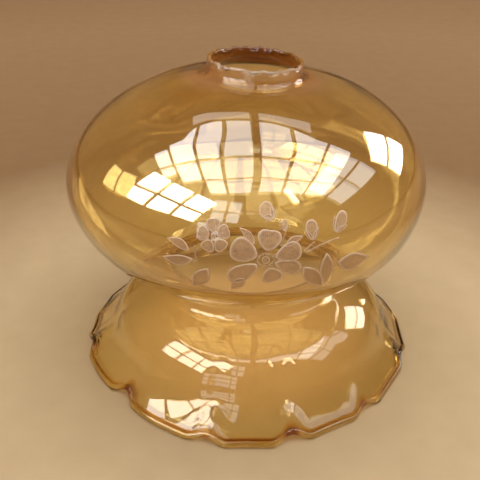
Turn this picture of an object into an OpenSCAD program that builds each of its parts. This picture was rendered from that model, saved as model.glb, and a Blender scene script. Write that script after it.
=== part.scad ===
// Blown glass lamp shade, standing on its crimped rim.
// It is one vessel of amber glass: a collar that takes the lampholder, a flattened globe, a narrow
// waist and a flared skirt, whose thick fire-polished lip is crimped at even steps. A spray of
// flowers is engraved on the front of the globe. Each node is one zone of the glass, or one motif
// of the engraving, and neighbouring zones meet face to face.
// Frame: Z runs up the axis, the origin is on the surface that the lip rests on, the front is -Y.

/* [Overall] */
// Height from the surface it stands on to the top of the collar
total_h = 161; // [159:0.5:165]
// Thickness of the blown wall
wall = 2.5; // [2:0.1:3]

/* [Collar] */
// Diameter of the hole that takes the lampholder
fitter_d = 42; // [40:0.5:44]
// Thickness of the collar
collar_wall = 2; // [1.8:0.1:2.8]
// Radius of the fillet between the collar and the globe
collar_fillet = 5.6; // [4:0.1:5.8]

/* [Globe] */
// Diameter of the globe at its widest
globe_d = 180; // [174:1:186]
// Height of the widest line
globe_z = 102; // [100:0.5:104]
// Rise of the upper half above the widest line
crown_h = 53; // [51:0.5:54]
// Depth of the lower half below the widest line, if it closed to a point
base_h = 58; // [57:0.5:60]
// Roundness of the upper half: 2 is an ellipse, more is squarer
crown_power = 2.06; // [1.9:0.02:2.2]
// Roundness of the lower half: 2 is an ellipse, less is more conical
base_power = 1.9; // [1.82:0.02:2]

/* [Waist and skirt] */
// Diameter of the waist at its narrowest
waist_d = 89; // [86:1:92]
// Radius of the fold at the waist
waist_fillet = 7.8; // [7:0.2:8.4]
// Diameter of the skirt where its dome ends and the flare starts
foot_d = 149; // [146:1:151]
// Height where the dome ends and the flare starts
foot_z = 20; // [18:0.5:21]

/* [Crimped rim] */
// Diameter of the rim over the ends of its straight runs
rim_d = 180; // [176:1:184]
// Thickness of the fire-polished lip
bead_d = 4; // [3.8:0.1:4.6]
// Number of crimps round the rim
crimps = 12; // [10:1:14]
// Width of one crimp, in degrees round the rim
crimp_w = 13; // [10:1:14]
// How far the lip lifts at the middle of a crimp
crimp_lift = 3; // [1:0.2:4]
// How far the lip is drawn in at the middle of a crimp
crimp_draw = 2.2; // [0.5:0.1:3]
// How far the flare is pushed up at the middle of a crimp
flute_h = 4.5; // [2:0.5:6]
// How far the middle of a straight run lies inside the circle of the rim
run_sag = 1; // [0:0.1:1.2]

/* [Engraving] */
// Thickness of the matt engraved skin
engraving_t = 0.3; // [0.2:0.05:0.5]
// Radius of the large flower's eye, where its petals start
eye_r = 4; // [3:0.2:5]
// Radius of the small flower
blossom_r = 7; // [6:0.5:8]

/* [Hidden] */
$fn = 96;

globe_r = globe_d / 2;
collar_r = fitter_d / 2 + collar_wall;
waist_r = waist_d / 2;
bead_r = bead_d / 2;
shoulder_r = 0.7 * globe_r;    // where the crown ends and the shoulder starts
belly_r = 0.86 * globe_r;      // where the belly ends and the base starts
brow_tilt = 72;                // lean of the skirt's wall just below the waist
foot_tilt = 21;                // lean of the skirt's wall where its dome ends
lip_tilt = 50;                 // lean of the flare where it meets the lip

amber = [0.86, 0.62, 0.27, 0.55];
dark_amber = [0.62, 0.36, 0.12, 0.75];
frosted = [0.86, 0.80, 0.74];

// ---- profile of the glass: each entry is a pair, a point outside and the point inside it ----

function unit(v) = v / norm(v);
function pair(p, n, t = wall) = [p, p - t * n];

// A point and the outward normal of the globe, at radius r; up is 1 above the widest line, or -1
function globe_point(r, up) =
    let (n = up > 0 ? crown_power : base_power, c = up > 0 ? crown_h : base_h)
    [r, globe_z + up * c * pow(max(0, 1 - pow(r / globe_r, n)), 1 / n)];
function globe_normal(r, up) =
    let (n = up > 0 ? crown_power : base_power, c = up > 0 ? crown_h : base_h,
         h = (globe_point(r, up)[1] - globe_z) * up / c)
    unit([pow(r / globe_r, n - 1) / globe_r, up * pow(h, n - 1) / c]);
function globe_pairs(r_from, r_to, up, steps) =
    let (n = up > 0 ? crown_power : base_power,
         a_from = acos(pow(r_from / globe_r, n / 2)), a_to = acos(pow(r_to / globe_r, n / 2)))
    [for (i = [0 : steps])
        let (r = globe_r * pow(cos(a_from + (a_to - a_from) * i / steps), 2 / n))
        pair(globe_point(r, up), globe_normal(r, up))];

// Radius where a fillet against the wall of radius r_wall meets the globe, found in a few steps
function fillet_contact(r_wall, fillet, up, r, tries = 12) =
    tries == 0 ? r : fillet_contact(r_wall, fillet, up,
        r_wall + fillet * (1 - globe_normal(r, up)[0]), tries - 1);
collar_contact = fillet_contact(collar_r, collar_fillet, 1, collar_r + collar_fillet);
waist_contact = fillet_contact(waist_r, waist_fillet, -1, waist_r + waist_fillet);

// A concave fillet round a centre: the normals turn from one angle to the other
function fillet_pairs(centre, radius, a_from, a_to, t_from, t_to, steps) =
    [for (i = [0 : steps])
        let (f = i / steps, a = a_from + (a_to - a_from) * f, n = [cos(a), sin(a)])
        pair(centre - radius * n, n, t_from + (t_to - t_from) * f)];
function angle_of(n) = atan2(n[1], n[0]);
collar_n = globe_normal(collar_contact, 1);
collar_centre = globe_point(collar_contact, 1) + collar_fillet * collar_n;
waist_n = globe_normal(waist_contact, -1);
waist_centre = globe_point(waist_contact, -1) + waist_fillet * waist_n;

// A cubic curve down the skirt, from point p leaning a to point q leaning b
function lean(a) = [sin(a), -cos(a)];
function cubic(p, f) = pow(1 - f, 3) * p[0] + 3 * pow(1 - f, 2) * f * p[1]
    + 3 * (1 - f) * f * f * p[2] + pow(f, 3) * p[3];
function cubic_slope(p, f) = pow(1 - f, 2) * (p[1] - p[0]) + 2 * (1 - f) * f * (p[2] - p[1])
    + f * f * (p[3] - p[2]);
function cubic_pairs(p, steps) =
    [for (i = [0 : steps]) let (d = unit(cubic_slope(p, i / steps)))
        pair(cubic(p, i / steps), [-d[1], d[0]])];
function controls(p, a, q, b) =
    let (reach = 0.38 * norm(q - p)) [p, p + reach * lean(a), q - reach * lean(b), q];

brow = waist_centre - waist_fillet * [cos(brow_tilt), sin(brow_tilt)];
foot = [foot_d / 2, foot_z];
foot_pair = [foot, foot - [wall / cos(foot_tilt), 0]];

collar_zone = concat([[[collar_r, total_h], [collar_r - collar_wall, total_h]]],
    fillet_pairs(collar_centre, collar_fillet, 0, angle_of(collar_n), collar_wall, wall, 6));
crown_zone = globe_pairs(collar_contact, shoulder_r, 1, 8);
shoulder_zone = globe_pairs(shoulder_r, globe_r, 1, 9);
belly_zone = globe_pairs(globe_r, belly_r, -1, 7);
base_zone = globe_pairs(belly_r, waist_contact, -1, 8);
waist_zone = fillet_pairs(waist_centre, waist_fillet, angle_of(waist_n), brow_tilt, wall, wall, 12);
bell_steps = 12;
bell_pairs = cubic_pairs(controls(brow, brow_tilt, foot, foot_tilt), bell_steps);
bell_zone = concat([for (i = [0 : bell_steps - 1]) bell_pairs[i]], [foot_pair]);

// ---- crimped rim: one section, swept round the axis ----

pitch = 360 / crimps;
run_w = pitch - crimp_w;
// How much of a crimp is felt at the angle a: 0 on a straight run, 1 in the middle of a crimp
function from_crimp(a) = abs((a % pitch + pitch) % pitch - pitch / 2);
function crimp_at(a) = let (d = from_crimp(a)) d < crimp_w / 2 ? pow(cos(180 * d / crimp_w), 2) : 0;
// How much a straight run is drawn inside the circle
function sag_at(a) = let (d = pitch / 2 - from_crimp(a)) d < run_w / 2 ? 1 - pow(2 * d / run_w, 2) : 0;

bead_top = 85;                 // angle where the flare meets the lip, above
bead_step = (bead_top + 90) / 7.5;  // so that a side of the lip lies flat on the surface
bead_sides = 10;
bead_flat = bead_r * cos(bead_step / 2);
flare_steps = 7;
function section(a) =
    let (c = crimp_at(a), s = sag_at(a),
         centre = [rim_d / 2 - bead_r - crimp_draw * c - run_sag * s, bead_flat + crimp_lift * c],
         top = centre + bead_r * [cos(bead_top), sin(bead_top)],
         curve = [foot, foot + 7 * lean(foot_tilt), top - 7 * lean(lip_tilt) + [0, flute_h * c], top],
         flare = cubic_pairs(curve, flare_steps))
    concat([foot_pair[0]],
        [for (i = [1 : flare_steps - 1]) flare[i][0]],
        [for (i = [0 : bead_sides]) let (b = bead_top - bead_step * i)
            centre + bead_r * [cos(b), sin(b)]],
        [for (i = [flare_steps - 1 : -1 : 1]) flare[i][1]],
        [foot_pair[1]]);

crimp_steps = 8;
run_steps = 3;
sweep = [for (k = [0 : crimps - 1])
    each concat(
        [for (i = [0 : run_steps - 1]) k * pitch - run_w / 2 + run_w * i / run_steps],
        [for (i = [0 : crimp_steps - 1]) k * pitch + run_w / 2 + crimp_w * i / crimp_steps])];

module swept_rim() {
    loops = [for (a = sweep) [for (p = section(a)) [p[0] * sin(a), -p[0] * cos(a), p[1]]]];
    n = len(loops[0]);
    m = len(loops);
    polyhedron(points = [for (l = loops) each l],
        faces = [for (i = [0 : m - 1], j = [0 : n - 1])
            let (a = i * n + j, b = i * n + (j + 1) % n,
                 c = ((i + 1) % m) * n + j, d = ((i + 1) % m) * n + (j + 1) % n)
            each [[a, b, d], [a, d, c]]]);
}

// ---- zones of the glass ----

module ring(zone) {
    outside = [for (p = zone) p[0]];
    inside = [for (i = [len(zone) - 1 : -1 : 0]) zone[i][1]];
    rotate_extrude() polygon(concat(outside, inside));
}

module fitter_collar() { color(dark_amber) ring(collar_zone); }
module globe_crown() { color(amber) ring(crown_zone); }
module globe_shoulder() { color(amber) ring(shoulder_zone); }
module globe_belly() { color(amber) ring(belly_zone); }
module globe_base() { color(amber) ring(base_zone); }
module waist_fold() { color(dark_amber) ring(waist_zone); }
module skirt_bell() { color(amber) ring(bell_zone); }
module crimped_rim() { color(dark_amber) swept_rim(); }

// ---- engraving: flat motifs, cast on the front of the globe ----

skin_zone = concat(globe_pairs(shoulder_r, globe_r, 1, 9),
    [for (i = [1 : 7]) globe_pairs(globe_r, belly_r, -1, 7)[i]]);

// The matt skin: a thin shell on the outside of the globe, cut to the motifs given as children
module engraved() {
    skin = [for (p = skin_zone) [p[0] + engraving_t * unit(p[0] - p[1]), p[0]]];
    color(frosted) intersection() {
        ring(skin);
        union() children();
    }
}

// Stands a flat motif in front of the globe, at an angle round it and a height, turned about itself
module cast(angle, height, turn = 0) {
    rotate([0, 0, angle]) translate([0, 0, height]) rotate([90, 0, 0])
        translate([0, 0, globe_r / 2]) linear_extrude(globe_r * 0.6) rotate(turn) children();
}

// A petal: round and widest near its tip, with its foot at the origin
module petal(length, width) {
    sides = 16;
    polygon([for (i = [0 : sides - 1])
        let (a = 360 * i / sides)
        [width / 2 * sin(a) * (1 - 0.35 * cos(a)), length / 2 * (1 - cos(a))]]);
}

// A leaf: pointed at both ends, with its foot at the origin
module leaf(length, width) {
    sides = 8;
    right = [for (i = [0 : sides]) [width / 2 * sin(180 * i / sides), length * i / sides]];
    left = [for (i = [sides - 1 : -1 : 1]) [-width / 2 * sin(180 * i / sides), length * i / sides]];
    polygon(concat(right, left));
}

// A stem: a thin arc that starts at the origin, heading up, and bends to the right
module stem(radius, sweep, width) {
    sides = 6;
    near = [for (i = [0 : sides]) let (a = sweep * i / sides)
        [radius - (radius - width / 2) * cos(a), (radius - width / 2) * sin(a)]];
    far = [for (i = [sides : -1 : 0]) let (a = sweep * i / sides)
        [radius - (radius + width / 2) * cos(a), (radius + width / 2) * sin(a)]];
    polygon(concat(near, far));
}

// A flower: an eye inside petals, each given as turn, length and width
module flower(eye, petals) {
    for (p = petals) rotate(p[0]) translate([0, eye]) petal(p[1], p[2]);
    difference() {
        circle(0.85 * eye);
        circle(0.5 * eye);
    }
}

flower_at = [5, 104.8];
blossom_at = [-8.8, 114];
flower_petals = [[-9, 8.8, 9.5], [66, 11.5, 10], [122, 14, 8], [-161, 8, 8.5], [-112, 12, 6.5],
                 [-75, 11.3, 8.5]];
// Leaves: angle, height, turn, length, width
leaves = [[-15, 107, 70, 11, 4], [-14, 103.5, 95, 14, 5], [-10, 100, 147, 14, 6.5],
          [2, 111.5, 44, 9, 3], [10, 110, -64, 8.5, 3.2], [25, 99, -97, 17, 9],
          [15, 100, -142, 17, 7], [21.5, 105, -175, 18, 6], [-0.5, 96, 140, 9, 5]];
// Buds: angle, height, turn, length, width
buds = [[7.2, 120.8, 46, 7, 5.5], [9.8, 116.2, -8, 4.4, 2.4], [17.6, 111.4, 4, 8, 5],
        [24.1, 113, -39, 9, 5]];
// Stems: angle, height, turn, bend radius, sweep
stems = [[9.8, 118.4, 62, 20, 10], [8.9, 110.4, -20, 40, 8], [15.1, 107.3, -52, 30, 8],
         [15.7, 106.8, -72, 60, 12], [-13, 102.5, 12, 30, 12]];

module engraved_flower() {
    engraved() cast(flower_at[0], flower_at[1]) flower(eye_r, flower_petals);
}
module engraved_blossom() {
    eye = 0.25 * blossom_r;
    engraved() cast(blossom_at[0], blossom_at[1])
        flower(eye, [for (i = [0 : 4]) [72 * i + 8, blossom_r - eye, 0.8 * blossom_r]]);
}
module engraved_buds() { engraved() for (b = buds) cast(b[0], b[1], b[2]) petal(b[3], b[4]); }
module engraved_leaves() { engraved() for (l = leaves) cast(l[0], l[1], l[2]) leaf(l[3], l[4]); }
module engraved_stems() { engraved() for (s = stems) cast(s[0], s[1], s[2]) stem(s[3], s[4], 0.8); }

fitter_collar();
globe_crown();
globe_shoulder();
globe_belly();
globe_base();
waist_fold();
skirt_bell();
crimped_rim();
engraved_flower();
engraved_blossom();
engraved_buds();
engraved_leaves();
engraved_stems();
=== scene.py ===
"""A blown amber glass lamp shade, standing on its crimped rim on a pale floor.

The glass is one continuous vessel, so one closed mesh stands for all its CAD zones. The engraving
is a set of thin matt pieces that lie on the front of the globe. Shape code works in millimetres
and turns into metres when a mesh is made. Angles go round the axis from the front, -Y, to +X.
"""
import math

import bpy
import numpy as np
from mathutils import Matrix, Vector


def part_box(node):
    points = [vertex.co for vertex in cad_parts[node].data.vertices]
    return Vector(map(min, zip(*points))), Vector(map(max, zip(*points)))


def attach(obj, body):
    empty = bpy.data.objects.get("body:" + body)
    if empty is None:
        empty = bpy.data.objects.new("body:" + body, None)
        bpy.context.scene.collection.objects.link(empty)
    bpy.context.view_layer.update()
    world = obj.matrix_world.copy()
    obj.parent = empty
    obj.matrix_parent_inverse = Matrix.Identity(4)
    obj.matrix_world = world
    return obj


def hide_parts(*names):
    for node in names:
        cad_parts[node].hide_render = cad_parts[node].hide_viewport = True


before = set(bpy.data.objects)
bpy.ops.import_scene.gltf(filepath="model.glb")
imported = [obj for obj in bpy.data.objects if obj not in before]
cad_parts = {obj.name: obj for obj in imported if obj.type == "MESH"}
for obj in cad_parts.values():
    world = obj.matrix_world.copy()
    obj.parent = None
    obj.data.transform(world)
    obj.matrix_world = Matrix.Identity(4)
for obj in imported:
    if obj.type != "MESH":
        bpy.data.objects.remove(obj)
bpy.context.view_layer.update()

MM = 0.001
rng = np.random.default_rng(7)

# ---------------------------------------------------------------- sizes


def high(node):
    """The highest corner of a CAD node, in millimetres."""
    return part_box(node)[1] / MM


def low(node):
    """The lowest corner of a CAD node, in millimetres."""
    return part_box(node)[0] / MM


TOTAL_H = high("fitter_collar").z
COLLAR_FOOT_R = high("fitter_collar").x     # where the collar's fillet meets the globe
GLOBE_R = high("globe_shoulder").x
GLOBE_Z = high("globe_belly").z             # height of the widest line
FOOT_R = high("skirt_bell").x               # where the skirt's dome ends and its flare starts
FOOT_Z = low("skirt_bell").z
RIM_R = GLOBE_R                             # the rim is as wide as the globe

# What the nodes' boxes don't give, as in the CAD
CROWN_H, CROWN_POWER = 53.0, 2.06           # upper half of the globe
BASE_H, BASE_POWER = 58.0, 1.9              # lower half of the globe
FITTER_R = 21.0
COLLAR_WALL, COLLAR_FILLET = 2.0, 5.6
WAIST_R, WAIST_FILLET = 44.5, 7.8
WALL = 2.5
# How far the skirt's wall leans out: below the waist, at its foot, and at the lip
BROW_LEAN, FOOT_LEAN, LIP_LEAN = (math.radians(a) for a in (72, 21, 50))
BEAD_R = 2.0                                # the fire-polished lip
CRIMP_LIFT, CRIMP_DRAW = 3.0, 2.2           # how far a crimp lifts the lip and draws it in
RUN_SAG = 1.0                               # how far a straight run lies inside the rim's circle

# The crimps are a little wider and softer than in the CAD
CRIMP_W = math.radians(13.5)
FLUTE_H = 3.5                               # how far a crimp pushes the flare up

# ---------------------------------------------------------------- profile of the glass


def arc(centre, radius, start, stop, steps):
    """Points of a circle, without the first one."""
    a = np.linspace(start, stop, steps + 1)[1:]
    return np.column_stack([centre[0] + radius * np.cos(a), centre[1] + radius * np.sin(a)])


def cubic(points, steps):
    """Points of a cubic curve, without the first one."""
    p = np.asarray(points, float)
    f = np.linspace(0, 1, steps + 1)[1:, None]
    return ((1 - f) ** 3 * p[0] + 3 * (1 - f) ** 2 * f * p[1]
            + 3 * (1 - f) * f ** 2 * p[2] + f ** 3 * p[3])


def toward(angle):
    """Unit vector at an angle above the horizontal, in the plane of a section."""
    return np.array([math.cos(angle), math.sin(angle)])


def lean(angle):
    """Unit vector down the wall, leaning out from the vertical."""
    return np.array([math.sin(angle), -math.cos(angle)])


def globe_z(r, up):
    """Height of the globe's outside at a radius: up is 1 for its upper half, -1 for its lower."""
    height, power = (CROWN_H, CROWN_POWER) if up > 0 else (BASE_H, BASE_POWER)
    return GLOBE_Z + up * height * np.maximum(0, 1 - (r / GLOBE_R) ** power) ** (1 / power)


def globe_arc(r_from, r_to, up, steps):
    """Points down the globe between two radii, without the first one."""
    power = CROWN_POWER if up > 0 else BASE_POWER
    ends = [math.acos(min(1, (r / GLOBE_R) ** (power / 2))) for r in (r_from, r_to)]
    r = GLOBE_R * np.cos(np.linspace(*ends, steps + 1)[1:]) ** (2 / power)
    return np.column_stack([r, globe_z(r, up)])


def globe_normal(r, up):
    """Angle of the globe's outward normal above the horizontal."""
    height, power = (CROWN_H, CROWN_POWER) if up > 0 else (BASE_H, BASE_POWER)
    h = abs(globe_z(r, up) - GLOBE_Z) / height
    return math.atan2(up * h ** (power - 1) / height, (r / GLOBE_R) ** (power - 1) / GLOBE_R)


def fold_contact():
    """Radius where the waist's fold meets the globe, found in a few steps."""
    r = WAIST_R + WAIST_FILLET
    for _ in range(12):
        r = WAIST_R + WAIST_FILLET * (1 - math.cos(globe_normal(r, -1)))
    return r


def outer_profile():
    """Points down the outside of the glass, from the collar's top to the foot of the skirt."""
    a = globe_normal(COLLAR_FOOT_R, 1)
    collar = np.array([COLLAR_FOOT_R, globe_z(COLLAR_FOOT_R, 1)])
    collar_centre = collar + COLLAR_FILLET * toward(a)
    fold_r = fold_contact()
    b = globe_normal(fold_r, -1)
    fold_top = np.array([fold_r, globe_z(fold_r, -1)])
    fold_centre = fold_top + WAIST_FILLET * toward(b)
    brow = fold_centre - WAIST_FILLET * toward(BROW_LEAN)
    foot = np.array([FOOT_R, FOOT_Z])
    reach = 0.38 * np.linalg.norm(foot - brow)
    return np.vstack([
        [[FITTER_R + COLLAR_WALL, TOTAL_H]],
        arc(collar_centre, COLLAR_FILLET, math.pi, math.pi + a, 8),
        globe_arc(COLLAR_FOOT_R, GLOBE_R, 1, 27),
        globe_arc(GLOBE_R, fold_r, -1, 22),
        arc(fold_centre, WAIST_FILLET, math.pi + b, math.pi + BROW_LEAN, 14),
        cubic([brow, brow + reach * lean(BROW_LEAN), foot - reach * lean(FOOT_LEAN), foot], 18)])


def offset_inwards(path, thickness):
    """The path moved square to itself, to the side of the axis."""
    d = np.gradient(path, axis=0)
    d /= np.linalg.norm(d, axis=1)[:, None]
    return path - np.column_stack([-d[:, 1], d[:, 0]]) * thickness[:, None]


OUTER = outer_profile()
# The wall's thickness at some heights: it is thickest at the waist, where the glass was gathered
WALL_AT = [(FOOT_Z, WALL), (36, WALL), (46, 3.0), (56, 3.0), (70, WALL), (GLOBE_Z, 2.2),
           (150, WALL), (156, COLLAR_WALL), (TOTAL_H, COLLAR_WALL)]
INNER = offset_inwards(OUTER, np.interp(OUTER[:, 1], *zip(*WALL_AT)))
INNER[0] = [FITTER_R, TOTAL_H]

# ---------------------------------------------------------------- the hand of the maker

TURNS = 400                                 # steps round the axis

# Where each crimp is, in degrees from the front, and how strongly it was pinched
CRIMP_AT = np.radians([14, 43, 74, 103, 135, 165, 195, 226, 255, 280, 311.5, 347])
PINCH = np.array([1.15, 0.9, 0.8, 0.95, 1.05, 0.85, 1.0, 0.8, 1.0, 0.95, 1.15, 0.8])
DEEP_CRIMP, DEEP_DRAW = CRIMP_AT[10], 4.2   # the lip is drawn in furthest here
FRONT_BULGE = 1.8                           # and comes out a little at the front

# Soft waves in the wall: depth, how many go round, millimetres of height to a radian, and phase
WAVES = [(0.22, 2, math.inf, 0.6), (0.12, 3, 31, 1.1), (0.05, 7, -9, 0), (0.04, 11, 6, 2),
         (0.025, 19, 3.1, 0), (0.05, 2, 4.3, 0)]
# Unevenness of the cracked-off edge: how many waves go round, their depth, and phase
CRACKS = [(3, 0.18, 1), (8, 0.14, 2.2), (19, 0.12, 0.4), (37, 0.1, 3.3), (71, 0.08, 5)]
BITES = 24                                  # chips out of each side of it
CREST_H = 1.2                               # how far it is rounded over
EDGE_CLOUD = 0.42                           # how cloudy it is

FLARE_STEPS, LIP_STEPS = 14, 15             # steps along a section of the rim
# The crease in the lip: its depth, its width in radians of the lip, and which way it goes in
GROOVE_DEPTH, GROOVE_TURN, GROOVE_TILT = 1.3, 0.2, 1.17
FLUTE_W = 0.085                             # half width of a flute, in radians
SWAY = 1.3                                  # how far the axis bends to the side
COLLAR_SHIFT = 2.2                          # the collar sits this far to the right
COLLAR_TIP_BACK, COLLAR_TIP_SIDE = 0.033, 0.05      # slopes at which it tips back and right


def smooth(x):
    """A soft step from 0 to 1."""
    x = np.clip(x, 0, 1)
    return x * x * (3 - 2 * x)


def hump(x, width):
    """A soft hump that is 1 at zero."""
    return np.exp(-(x / width) ** 2)


def either_side(a):
    """The same angle, from -pi to pi."""
    return (a + math.pi) % math.tau - math.pi


def near_crimp(a):
    """How much of a crimp is felt at an angle, and how far along a straight run it is, -1 to 1."""
    off = either_side(a - CRIMP_AT)
    nearest = int(np.argmin(np.abs(off)))
    felt = 0.0
    if abs(off[nearest]) < CRIMP_W / 2:
        felt = PINCH[nearest] * math.cos(math.pi * off[nearest] / CRIMP_W) ** 2
    before, after = off[off >= 0].min(initial=9), -off[off < 0].max(initial=-9)
    run = before + after - CRIMP_W
    return felt, float(np.clip((before - after) / run, -1, 1))


def maker(a, r, z):
    """Moves points a little: the vessel leans, is slightly out of round and has soft waves."""
    waves = sum(depth * np.sin(count * a + z / pitch + phase)
                for depth, count, pitch, phase in WAVES)
    fuller = 0.8 * (1 + np.sin(a)) * hump(z - 76, 15)    # low on the right side
    # Each crimp runs on up the skirt as a soft flute
    flutes = sum(pinch * hump(either_side(a - at), FLUTE_W)
                 for at, pinch in zip(CRIMP_AT, PINCH))
    flutes = flutes * smooth((z - 4) / 10) * smooth((52 - z) / 36)
    r = r + waves * smooth((z - 6) / 20) + fuller - flutes
    shift = SWAY * np.cos(math.tau * (z - 20) / 165) * smooth(z / 15)
    collar = smooth((z - 142) / 12)
    x, y = r * np.sin(a), -r * np.cos(a)
    tip = (COLLAR_TIP_BACK * (FITTER_R - y) - COLLAR_TIP_SIDE * x) * collar
    return np.stack([x + shift + COLLAR_SHIFT * collar, y, z + tip], axis=-1)


def rim_section(a):
    """The flare and the lip at one angle, from the foot outside to the foot inside, and painted
    shade.

    The painted shade is how dark the glass is painted: darkest in the crease where the lip was
    folded, for the dark line that the bent glass shows there, and under each pinch, for the shadow
    under the lifted lip.
    """
    c, along = near_crimp(a)
    front = either_side(a)
    # The straight runs sag inwards, but the front bulges and one crimp was drawn in further
    inset = RUN_SAG * (1 - along * along) - FRONT_BULGE * hump(front, 0.3)
    inset += DEEP_DRAW * hump(a - DEEP_CRIMP, 0.19)
    bead = BEAD_R * (1 + 0.06 * math.sin(5 * a + 1) - 0.1 * c)
    centre = np.array([RIM_R - BEAD_R - CRIMP_DRAW * c - inset, bead + CRIMP_LIFT * c])
    foot = np.array([FOOT_R, FOOT_Z])
    top, under = math.radians(85), math.radians(-158)
    crease = centre + bead * toward(top)
    reach = 7
    flare = cubic([foot, foot + reach * lean(FOOT_LEAN),
                   crease - reach * lean(LIP_LEAN) + np.array([0, FLUTE_H * c]), crease],
                  FLARE_STEPS)
    # Two points of the dome above steady the offset, and the inside stops short of the lip
    path = np.vstack([OUTER[-2:], flare])
    inside = offset_inwards(path, np.full(len(path), WALL))[2:-2][::-1]
    # The crease is a narrow groove along each straight run, and closes up in a crimp
    open_here = 1 - 0.85 * c
    near, far = crease - 0.4 * lean(LIP_LEAN), arc(centre, bead, top, top - GROOVE_TURN, 1)[0]
    deep = crease - GROOVE_DEPTH * open_here * toward(GROOVE_TILT)
    groove = [near, near + 0.2 * (deep - near), near + 0.85 * (deep - near), deep,
              far + 0.85 * (deep - far), far + 0.2 * (deep - far), far]
    lip = arc(centre, bead, top - GROOVE_TURN, under, LIP_STEPS)
    points = np.vstack([flare[:-1], groove, lip, inside])
    # Painted shade in the crease, darker at the front, for the dark line that the folded lip shows
    dark = (0.6 + 0.4 * hump(front, 0.5)) * open_here
    # Painted shadow on the underside of the lip at the strongest pinches, where it is lifted off
    # the floor
    under_pinch = smooth((c - 0.55) / 0.5) * smooth(np.arange(LIP_STEPS) / 5)
    painted_shade = np.concatenate([np.zeros(len(flare) - 1), np.full(len(groove), dark), under_pinch,
                            np.zeros(len(inside))])
    return points, painted_shade


def cracked_edge(loops, angles):
    """Points over the collar's top: it was cracked off, so it is uneven, with bites out of it.

    The top points of the loops, outside and inside, are moved down to meet them.
    """
    rough = sum(depth * np.sin(count * angles + phase) for count, depth, phase in CRACKS)
    bites = np.zeros((2, TURNS))
    for side in (0, 1):
        for at, size in zip(rng.uniform(0, math.tau, BITES), rng.uniform(0.4, 1.3, BITES)):
            gap = np.abs(either_side(angles - at))
            bite = size * np.clip(1 - (gap / (0.04 + 0.06 * size)) ** 2, 0, 1)
            bites[side] = np.maximum(bites[side], bite)
    top = TOTAL_H - 1.3 + 0.6 * rough - 0.6 * bites.max(axis=0)
    loops[:, 0, 1], loops[:, -1, 1] = top, top
    outside, inside = loops[:, 0, 0], loops[:, -1, 0]
    middle, half = (outside + inside) / 2, (outside - inside) / 2
    cap = []
    for t in np.radians(np.arange(15, 180, 15)):
        bite = bites[0] * max(0, math.cos(t)) + bites[1] * max(0, -math.cos(t))
        cap.append(np.column_stack([middle - half * math.cos(t) * (1 - 0.6 * bite),
                                    top + math.sin(t) * (CREST_H - 0.9 * bite)]))
    return np.stack(cap, axis=1)


def glass_grid():
    """The vessel as a grid: one closed section for each step round the axis.

    With it come the painted shade at each point, and how clear the glass is. Its cracked edge is
    cloudy.
    """
    angles = np.arange(TURNS) * math.tau / TURNS
    collar, edge = smooth((OUTER[:, 1] - 150.5) / 3), smooth((OUTER[:, 1] - 155) / 4)
    sections, painted_shades, clouds = [], [], []
    for a in angles:
        points, painted_shade = rim_section(a)
        dark = collar * (0.50 - 0.38 * math.cos(a))     # painted shade: darker at the back than at the front
        cloudy = 0.14 * collar * math.sin(a) ** 2 + 0.22 * edge
        sections.append(np.vstack([OUTER, points, INNER[::-1]]))
        painted_shades.append(np.concatenate([dark, painted_shade, dark[::-1]]))
        clouds.append(np.concatenate([cloudy, np.zeros(len(points)), cloudy[::-1]]))
    loops, painted_shades, clouds = np.array(sections), np.array(painted_shades), np.array(clouds)
    cap = cracked_edge(loops, angles)
    loops = np.concatenate([loops, cap], axis=1)
    painted_shades = np.concatenate([painted_shades, np.repeat(painted_shades[:, :1], cap.shape[1], axis=1)], axis=1)
    clouds = np.concatenate([clouds, np.full(cap.shape[:2], EDGE_CLOUD)], axis=1)
    a = np.repeat(angles[:, None], loops.shape[1], axis=1)
    return maker(a, loops[..., 0], loops[..., 1]), painted_shades, 1 - clouds


# ---------------------------------------------------------------- meshes and pieces


def add(thing):
    """Puts an object into the scene."""
    bpy.context.scene.collection.objects.link(thing)


def new_piece(name, verts, faces, finish, replaced):
    """Makes a piece of the object from points in millimetres, in place of some CAD nodes."""
    mesh = bpy.data.meshes.new(name)
    mesh.from_pydata([tuple(v) for v in np.asarray(verts) * MM], [], faces)
    mesh.validate()
    mesh.polygons.foreach_set("use_smooth", [True] * len(mesh.polygons))
    mesh.materials.append(finish)
    piece = bpy.data.objects.new(name, mesh)
    add(piece)
    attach(piece, "root")
    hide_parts(*replaced)
    return piece


def grid_faces(rows, columns):
    """Quads of a grid that closes on itself both ways, facing out of a vessel's wall."""
    i, j = np.meshgrid(np.arange(rows), np.arange(columns), indexing="ij")
    a, b = i * columns + j, i * columns + (j + 1) % columns
    c, d = ((i + 1) % rows) * columns + (j + 1) % columns, ((i + 1) % rows) * columns + j
    return np.stack([a, b, c, d], axis=-1).reshape(-1, 4)


# ---------------------------------------------------------------- materials


def material(name):
    """A new material, and its nodes, links and Principled shader."""
    m = bpy.data.materials.new(name)
    m.use_nodes = True
    nodes, links = m.node_tree.nodes, m.node_tree.links
    return m, nodes, links, nodes["Principled BSDF"]


def noise(nodes, links, scale, detail, stretch=(1, 1, 1)):
    """Noise in the object's own coordinates."""
    where = nodes.new("ShaderNodeTexCoord")
    mapping = nodes.new("ShaderNodeMapping")
    mapping.inputs["Scale"].default_value = stretch
    tex = nodes.new("ShaderNodeTexNoise")
    tex.inputs["Scale"].default_value = scale
    tex.inputs["Detail"].default_value = detail
    links.new(where.outputs["Object"], mapping.inputs["Vector"])
    links.new(mapping.outputs["Vector"], tex.inputs["Vector"])
    return tex.outputs["Fac"]


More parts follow.
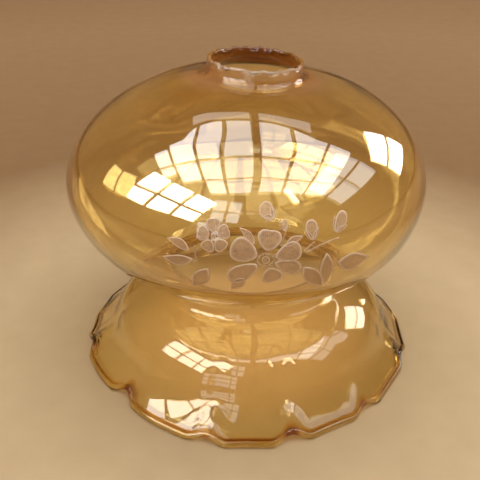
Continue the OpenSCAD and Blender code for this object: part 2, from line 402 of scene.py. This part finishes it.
def ramp(nodes, links, source, stops):
    """A colour ramp: stops are (position, colour), or (position, value) for a grey."""
    r = nodes.new("ShaderNodeValToRGB")
    while len(r.color_ramp.elements) < len(stops):
        r.color_ramp.elements.new(0.5)
    for e, (at, colour) in zip(r.color_ramp.elements, stops):
        e.position = at
        e.color = (*colour, 1) if isinstance(colour, tuple) else (colour, colour, colour, 1)
    links.new(source, r.inputs["Fac"])
    return r.outputs["Color"]


def multiplied(nodes, links, a, b):
    """The product of two colours."""
    product = nodes.new("ShaderNodeMix")
    product.data_type = "RGBA"
    product.blend_type = "MULTIPLY"
    product.inputs["Factor"].default_value = 1
    links.new(a, product.inputs["A"])
    links.new(b, product.inputs["B"])
    return product.outputs["Result"]


def painted(nodes, name, output="Fac"):
    """What the mesh carries at each point under this name."""
    value = nodes.new("ShaderNodeAttribute")
    value.attribute_name = name
    return value.outputs[output]


def amber_glass():
    """Blown amber glass with a faint lustre: tinted in its body, with painted shade at the collar,
    in the crease and under the pinches.

    The mesh says where the painted shade falls, where it is clear and where it has its lustre.
    """
    m, nodes, links, skin = material("amber_glass")
    mottle = noise(nodes, links, 14, 4, (1, 1, 0.5))
    clear = ramp(nodes, links, mottle, [(0.3, (1.0, 0.965, 0.89)), (0.7, (1.0, 0.985, 0.96))])
    # Painted shade: red-brown to near black where the mesh is painted dark, in the crease, under
    # the pinches and at the back of the collar
    shade_tint = ramp(nodes, links, painted(nodes, "painted_shade"),
                   [(0, (1, 1, 1)), (0.5, (0.80, 0.42, 0.10)), (1, (0.18, 0.03, 0.003))])
    links.new(multiplied(nodes, links, clear, shade_tint), skin.inputs["Base Color"])
    haze = noise(nodes, links, 55, 5)
    links.new(ramp(nodes, links, haze, [(0.45, 0.012), (0.75, 0.05)]), skin.inputs["Roughness"])
    skin.inputs["IOR"].default_value = 1.5
    links.new(painted(nodes, "clear"), skin.inputs["Transmission Weight"])
    links.new(painted(nodes, "lustre"), skin.inputs["Coat Weight"])
    skin.inputs["Coat Roughness"].default_value = 0.01
    skin.inputs["Coat IOR"].default_value = 2.1
    body = nodes.new("ShaderNodeVolumeAbsorption")
    body.inputs["Color"].default_value = (0.935, 0.785, 0.15, 1)
    body.inputs["Density"].default_value = 230.0
    links.new(body.outputs["Volume"], nodes["Material Output"].inputs["Volume"])
    return m


def engraved_frost():
    """Wheel-cut glass: pale, matt and half clear, brighter along each motif's outline.

    The mesh carries x, how far out a point is from its motif's middle, and y, the phase of the
    cut lines across it.
    """
    m, nodes, links, cut = material("engraved_frost")
    parts = nodes.new("ShaderNodeSeparateXYZ")
    links.new(painted(nodes, "motif", "Vector"), parts.inputs["Vector"])
    outwards = parts.outputs["X"]
    lines = nodes.new("ShaderNodeMath")
    lines.operation = "SINE"
    links.new(parts.outputs["Y"], lines.inputs[0])
    streak = nodes.new("ShaderNodeMath")
    streak.operation = "MULTIPLY_ADD"
    links.new(lines.outputs["Value"], streak.inputs[0])
    streak.inputs[1].default_value = 0.16
    links.new(noise(nodes, links, 900, 3), streak.inputs[2])
    inside = ramp(nodes, links, streak.outputs["Value"],
                  [(0.3, (0.70, 0.52, 0.38)), (0.75, (0.88, 0.69, 0.52))])
    colour = nodes.new("ShaderNodeMix")
    colour.data_type = "RGBA"
    links.new(ramp(nodes, links, outwards, [(0.84, 0), (0.93, 1)]), colour.inputs["Factor"])
    links.new(inside, colour.inputs["A"])
    colour.inputs["B"].default_value = (0.95, 0.84, 0.70, 1)
    links.new(colour.outputs["Result"], cut.inputs["Base Color"])
    links.new(ramp(nodes, links, outwards, [(0.7, 0.38), (0.92, 0.85)]), cut.inputs["Alpha"])
    cut.inputs["Roughness"].default_value = 0.6
    cut.inputs["Specular IOR Level"].default_value = 0.3
    bump = nodes.new("ShaderNodeBump")
    bump.inputs["Strength"].default_value = 0.35
    bump.inputs["Distance"].default_value = 0.0001
    links.new(streak.outputs["Value"], bump.inputs["Height"])
    links.new(bump.outputs["Normal"], cut.inputs["Normal"])
    return m


# ---------------------------------------------------------------- the glass


def make_glass():
    """The whole vessel as one piece, with what its material needs at each point."""
    grid, painted_shade, clear = glass_grid()
    rows, columns = grid.shape[:2]
    faces = grid_faces(rows, columns)
    glass = new_piece("glass_shade", grid.reshape(-1, 3), faces.tolist(), amber_glass(),
                      ["fitter_collar", "globe_crown", "globe_shoulder", "globe_belly",
                       "globe_base", "waist_fold", "skirt_bell", "crimped_rim"])
    # The lustre is on the globe: the skirt has little of it and the collar hardly any
    height = grid[..., 2]
    lustre = 0.15 + 0.7 * smooth((height - 48) / 20) - 0.8 * smooth((height - 149) / 4)
    # The first of these is painted shade, for the crease, the pinches and the collar
    for name, value in (("painted_shade", painted_shade), ("clear", clear), ("lustre", lustre)):
        field = glass.data.attributes.new(name, "FLOAT", "POINT")
        field.data.foreach_set("value", value.ravel())


# ---------------------------------------------------------------- the engraving

LIFT = 0.03                                 # gap between the glass and the matt skin
SKIN_T = 0.22                               # thickness of the skin just inside its outline
CUT_PITCH = 7.5                             # radians of the fine cut lines to a millimetre
RINGS = [0.3, 0.55, 0.75, 0.86, 0.93, 1.0]  # from near a motif's middle to its outline


def on_globe(angle, height, x, y, h):
    """Points h outside the globe, at x across and y up from a place on its front."""
    z = height + y
    up = np.where(z > GLOBE_Z, 1, -1)
    tall = np.where(up > 0, CROWN_H, BASE_H)
    power = np.where(up > 0, CROWN_POWER, BASE_POWER)
    q = np.abs(z - GLOBE_Z) / tall
    r = GLOBE_R * (1 - q ** power) ** (1 / power)
    n = np.stack([(r / GLOBE_R) ** (power - 1) / GLOBE_R, up * q ** (power - 1) / tall])
    n /= np.linalg.norm(n, axis=0)
    a = math.radians(angle) + x / r
    return maker(a, r + n[0] * h, z + n[1] * h)


def motif(shapes):
    """A closed skin for each shape. A shape is (angle, height, turn, outline, middle).

    Each skin has an outer and an inner side, fanned out from the middle, and a wall round them.
    """
    verts, faces, facts = [], [], []
    start = 0
    for angle, height, turn, outline, middle in shapes:
        n = len(outline)
        c, s = math.cos(math.radians(turn)), math.sin(math.radians(turn))
        flat = np.vstack([middle + (outline - middle) * f for f in RINGS] + [[middle]])
        edge = np.append(np.repeat(RINGS, n), 0)
        # The skin rises towards its outline, and falls off at the very edge
        rise, fall = smooth((edge - 0.75) / 0.15), smooth((edge - 0.95) / 0.05)
        relief = SKIN_T * (0.55 + 0.45 * rise) * (1 - fall * 0.6)
        x, y = flat[:, 0] * c - flat[:, 1] * s, flat[:, 0] * s + flat[:, 1] * c
        last_rings = []
        for side in (1, 0):
            verts.append(on_globe(angle, height, x, y, LIFT + side * relief))
            facts.append(np.column_stack([edge, flat[:, 0] * CUT_PITCH, flat[:, 1]]))
            hub = start + n * len(RINGS)
            new = [[start + i, start + (i + 1) % n, hub] for i in range(n)]
            for k in range(len(RINGS) - 1):
                p, q = start + k * n, start + (k + 1) * n
                new += [[p + i, q + i, q + (i + 1) % n, p + (i + 1) % n] for i in range(n)]
            faces += [f if side else f[::-1] for f in new]
            last_rings.append(hub - n)
            start = hub + 1
        over, under = last_rings
        faces += [[over + i, under + i, under + (i + 1) % n, over + (i + 1) % n]
                  for i in range(n)]
    return np.vstack(verts), faces, np.vstack(facts)


def petal(length, width, start=0.0, notch=0.0):
    """A petal: its foot at start, round and widest near its tip."""
    a = np.linspace(0, math.tau, 28, endpoint=False)
    x = width / 2 * np.sin(a) * (1 - 0.32 * np.cos(a))
    y = length / 2 * (1 - np.cos(a)) - notch * hump(a - math.pi, 0.35)
    return np.column_stack([x, y + start]), np.array([0, start + length * 0.58])


def leaf(length, width, bend=0.0):
    """A leaf: pointed at both ends, bent to one side."""
    t = np.linspace(0, 1, 13)
    half = width / 2 * np.sin(math.pi * t ** 0.85)
    spine = bend * np.sin(math.pi * t)
    right = np.column_stack([spine + half, length * t])
    left = np.column_stack([spine - half, length * t])[-2:0:-1]
    return np.vstack([right, left]), np.array([bend, length * 0.48])


def stroke(length, width, bend):
    """A stem or a thin cut line."""
    t = np.linspace(0, 1, 11)
    half = width / 2 * (1 - 0.5 * t) * np.minimum(1, 8 * t + 0.5)
    spine = bend * t * t
    right = np.column_stack([spine + half, length * t])
    left = np.column_stack([spine - half, length * t])[::-1]
    return np.vstack([right, left]), np.array([bend * 0.25, length * 0.5])


def disc(radius):
    """A round dot."""
    a = np.linspace(0, math.tau, 20, endpoint=False)
    return np.column_stack([radius * np.sin(a), -radius * np.cos(a)]), np.zeros(2)


def place(angle, height, turn, shape):
    """A shape at an angle and a height on the globe, turned in degrees."""
    outline, middle = shape
    return angle, height, turn, outline, middle


# Where each flower's middle is: angle from the front, and height
FLOWER = (5.0, 104.8)
BLOSSOM = (-8.8, 114.0)
EYE_R = 4.0                                 # radius of the flower's eye, where its petals start


def flower_shapes():
    """The large flower: its petals, and an eye of a dot in a ring of small ones."""
    # Turn, length, width and notch of each petal
    petals = [(-9, 8.8, 9.5, 0.6), (66, 11.5, 10, 0), (122, 14, 8, 0), (-161, 8, 8.5, 0.4),
              (-112, 12, 6.5, 0), (-75, 11.3, 8.5, 0.3)]
    shapes = [place(*FLOWER, turn, petal(length, width, EYE_R, notch))
              for turn, length, width, notch in petals]
    shapes.append(place(*FLOWER, 0, disc(1.7)))
    dots = 16
    for k in range(dots):
        turn = math.tau * k / dots
        x, y = 0.84 * EYE_R * math.sin(turn), 0.7 * EYE_R * math.cos(turn)
        shapes.append(place(FLOWER[0] + math.degrees(x / GLOBE_R), FLOWER[1] + y, 0, disc(0.5)))
    return shapes


def blossom_shapes():
    """The small flower: five petals round a dot."""
    shapes = [place(*BLOSSOM, 72 * k + 8, petal(5.2, 5.6, 1.7, 0.3)) for k in range(5)]
    return shapes + [place(*BLOSSOM, 0, disc(1.1))]


def bud_shapes():
    """Buds: angle, height, turn, length and width. Two sepals hold each one."""
    buds = [(7.2, 120.8, 46, 7, 5.5), (9.8, 116.2, -8, 4.4, 2.4), (17.6, 111.4, 4, 8, 5),
            (24.1, 113, -39, 9, 5)]
    shapes = []
    for angle, height, turn, length, width in buds:
        shapes.append(place(angle, height, turn, petal(length, width)))
        for side in (-1, 1):
            sepal = leaf(length * 0.7, width * 0.42)
            shapes.append(place(angle, height, turn + side * 34, sepal))
    return shapes


def leaf_shapes():
    """Leaves: angle, height, turn, length, width and bend."""
    leaves = [(-15, 107, 70, 11, 4, 1), (-14, 103.5, 95, 14, 5, -1), (-10, 100, 147, 14, 6.5, 0),
              (2, 111.5, 44, 9, 3, 0.6), (10, 110, -64, 8.5, 3.2, -0.6), (25, 99, -97, 17, 9, 1),
              (15, 100, -142, 17, 7, 0), (21.5, 105, -175, 18, 6, 0), (-0.5, 96, 140, 9, 5, 0)]
    return [place(a, h, t, leaf(length, width, bend)) for a, h, t, length, width, bend in leaves]


def stem_shapes():
    """Stems: angle, height, turn, length and bend."""
    stems = [(9.8, 118.4, 62, 4, 0.5), (8.9, 110.4, -16, 6.3, 0.5), (15.1, 107.3, -48, 5.6, 0.5),
             (15.7, 106.8, -68, 15, 2), (-13, 102.5, 14, 7.2, 0.6), (-13.8, 102.3, -9, 6.8, 0.5)]
    return [place(a, h, t, stroke(length, 0.75, bend)) for a, h, t, length, bend in stems]


def make_engraving():
    """A piece for each motif of the spray, all of one material."""
    frost = engraved_frost()
    for name, shapes in (("flower", flower_shapes()), ("blossom", blossom_shapes()),
                         ("buds", bud_shapes()), ("leaves", leaf_shapes()),
                         ("stems", stem_shapes())):
        verts, faces, facts = motif(shapes)
        piece = new_piece("cut_" + name, verts, faces, frost,
                          ["engraved_" + name])
        field = piece.data.attributes.new("motif", "FLOAT_VECTOR", "POINT")
        field.data.foreach_set("vector", facts.ravel())


# ---------------------------------------------------------------- floor, lights and camera

PALE, CREAM = (0.92, 0.95, 1.0), (0.98, 0.95, 0.90)
SKY, WARM = (0.80, 0.88, 1.0), (1.0, 0.86, 0.62)
WHITE = (1, 1, 1)
LIGHT_BOUNCES = 24


def make_floor():
    """A plain pale floor with a painted pool of light round the object, and painted shade away
    from it.
    """
    half = 4.0
    mesh = bpy.data.meshes.new("floor")
    mesh.from_pydata([(-half, -half, 0), (half, -half, 0), (half, half, 0), (-half, half, 0)],
                     [], [(0, 1, 2, 3)])
    floor = bpy.data.objects.new("floor", mesh)
    add(floor)
    m, nodes, links, cloth = material("floor_pale")
    where = nodes.new("ShaderNodeTexCoord")
    away = nodes.new("ShaderNodeVectorMath")
    away.operation = "LENGTH"
    links.new(where.outputs["Object"], away.inputs[0])
    # Painted light and shade: palest round the object, darkest at 0.29 m, a little lighter far out
    painted_light_pool = ramp(nodes, links, away.outputs["Value"],
                [(0.15, (0.60, 0.49, 0.32)), (0.29, (0.29, 0.185, 0.095)),
                 (0.7, (0.40, 0.27, 0.155))])
    grain = ramp(nodes, links, noise(nodes, links, 60, 6),
                 [(0.3, (0.94, 0.93, 0.92)), (0.7, WHITE)])
    links.new(multiplied(nodes, links, painted_light_pool, grain), cloth.inputs["Base Color"])
    cloth.inputs["Roughness"].default_value = 0.9
    cloth.inputs["Specular IOR Level"].default_value = 0.1
    mesh.materials.append(m)


def panel(name, size, spot, colour, radiance):
    """A flat light of a given size at a spot. It faces down until it is turned."""
    data = bpy.data.lights.new(name, "AREA")
    data.shape = "RECTANGLE"
    data.size, data.size_y = size
    data.energy = radiance * math.pi * size[0] * size[1]
    data.color = colour
    light = bpy.data.objects.new(name, data)
    light.location = spot
    add(light)
    return light


def matt_only(light):
    """Keeps a light out of sight and out of every reflection and refraction."""
    light.visible_camera = False
    light.visible_glossy = False
    light.visible_transmission = False


def ceiling_panel(x, y, colour, radiance):
    """A panel of the ceiling between two x and two y, in metres, seen only in the glass."""
    middle = (sum(x) / 2, sum(y) / 2, 1.5)
    light = panel("ceiling", (x[1] - x[0], y[1] - y[0]), middle, colour, radiance)
    light.visible_diffuse = False


def window(turns, rises, columns, rows, colour, radiance, gap=0.05):
    """Panes seen only in the glass: turns and rises are the edges of the whole, in degrees."""
    distance = 1.9
    turn, rise = (math.radians(sum(edges) / 2) for edges in (turns, rises))
    way = Vector((math.sin(turn) * math.cos(rise), -math.cos(turn) * math.cos(rise),
                  math.sin(rise)))
    facing = way.to_track_quat("Z", "Y")
    globe = Vector((0, 0, 0.08))
    width = 2 * distance * math.cos(rise) * math.tan(math.radians(turns[1] - turns[0]) / 2)
    height = 2 * distance * math.tan(math.radians(rises[1] - rises[0]) / 2)
    size = width / columns - gap, height / rows - gap
    for i in range(columns):
        for j in range(rows):
            across, up = ((i + 0.5) / columns - 0.5) * width, ((j + 0.5) / rows - 0.5) * height
            spot = way * distance + globe + facing @ Vector((across, up, 0))
            light = panel("pane", size, spot, colour, radiance)
            light.rotation_euler = facing.to_euler()
            light.visible_diffuse = False


def make_lights():
    """A dim warm surround, a ceiling of panels and some windows, all for the glass to reflect.

    A soft key light and a small warm one light the floor.
    """
    world = bpy.data.worlds.new("surround")
    bpy.context.scene.world = world
    world.use_nodes = True
    surround = world.node_tree.nodes["Background"]
    surround.inputs["Color"].default_value = (0.34, 0.198, 0.085, 1)
    surround.inputs["Strength"].default_value = 0.9
    for x, radiance in (((-0.82, -0.55), 4.0), ((-0.51, -0.27), 3.2), ((-0.23, 0.035), 2.4),
                        ((0.125, 0.42), 2.4), ((0.46, 0.8), 2.6), ((0.84, 1.25), 2.6)):
        ceiling_panel(x, (0.04, 0.48), PALE, radiance)
        ceiling_panel(x, (-0.42, -0.01), PALE, radiance)
        if x[0] > -0.8:
            ceiling_panel(x, (-0.8, -0.46), PALE, radiance)
    for y in ((-0.2, -0.01), (0.04, 0.4)):
        ceiling_panel((-1.1, -0.86), y, PALE, 3.6)
    for x in ((-0.6, 0.035), (0.125, 0.62)):
        ceiling_panel(x, (0.53, 0.72), CREAM, 1.2)
    window((-86, -28), (25, 55), 3, 2, WHITE, 7.0, gap=0.07)
    window((-25, -4), (29, 53), 2, 2, SKY, 1.8)
    window((58, 105), (30, 58), 2, 2, SKY, 1.8)
    window((109, 133), (11, 36), 1, 2, CREAM, 7.0)
    window((31, 39), (44, 60), 1, 1, WARM, 6.0)
    window((-30, -12), (3, 27), 2, 3, SKY, 1.8)
    matt_only(panel("key", (2.4, 2.0), (0.25, -0.2, 1.6), (1.0, 0.965, 0.92), 2.2))
    # Inside the skirt, in place of the light that the glass lets through to the floor
    fill = panel("fill", (0.13, 0.13), (0.003, 0, 0.026), (1.0, 0.46, 0.25), 0.30)
    fill.data.shape = "DISK"
    matt_only(fill)


def make_camera():
    """The camera: it looks down on the object from the front, from close by."""
    elevation, roll = math.radians(30.06), math.radians(0.372)
    distance, target = 0.3968, Vector((-0.00397, 0, 0.06223))
    back = Vector((0, -math.cos(elevation), math.sin(elevation)))
    right = Vector((1, 0, 0))
    up = back.cross(right)
    x = right * math.cos(roll) + up * math.sin(roll)
    y = up * math.cos(roll) - right * math.sin(roll)
    data = bpy.data.cameras.new("camera")
    data.sensor_width = 36
    data.lens = 55.24
    camera = bpy.data.objects.new("camera", data)
    add(camera)
    turn = Matrix((x, y, back)).transposed().to_4x4()
    camera.matrix_world = Matrix.Translation(target + back * distance) @ turn
    bpy.context.scene.camera = camera


def set_look():
    """Plain colours, and enough bounces for light to get through both walls and back."""
    scene = bpy.context.scene
    scene.view_settings.view_transform = "Standard"
    scene.cycles.max_bounces = LIGHT_BOUNCES
    scene.cycles.transmission_bounces = LIGHT_BOUNCES
    scene.cycles.glossy_bounces = LIGHT_BOUNCES
    scene.cycles.transparent_max_bounces = LIGHT_BOUNCES


make_camera()
make_glass()
make_engraving()
make_floor()
make_lights()
set_look()
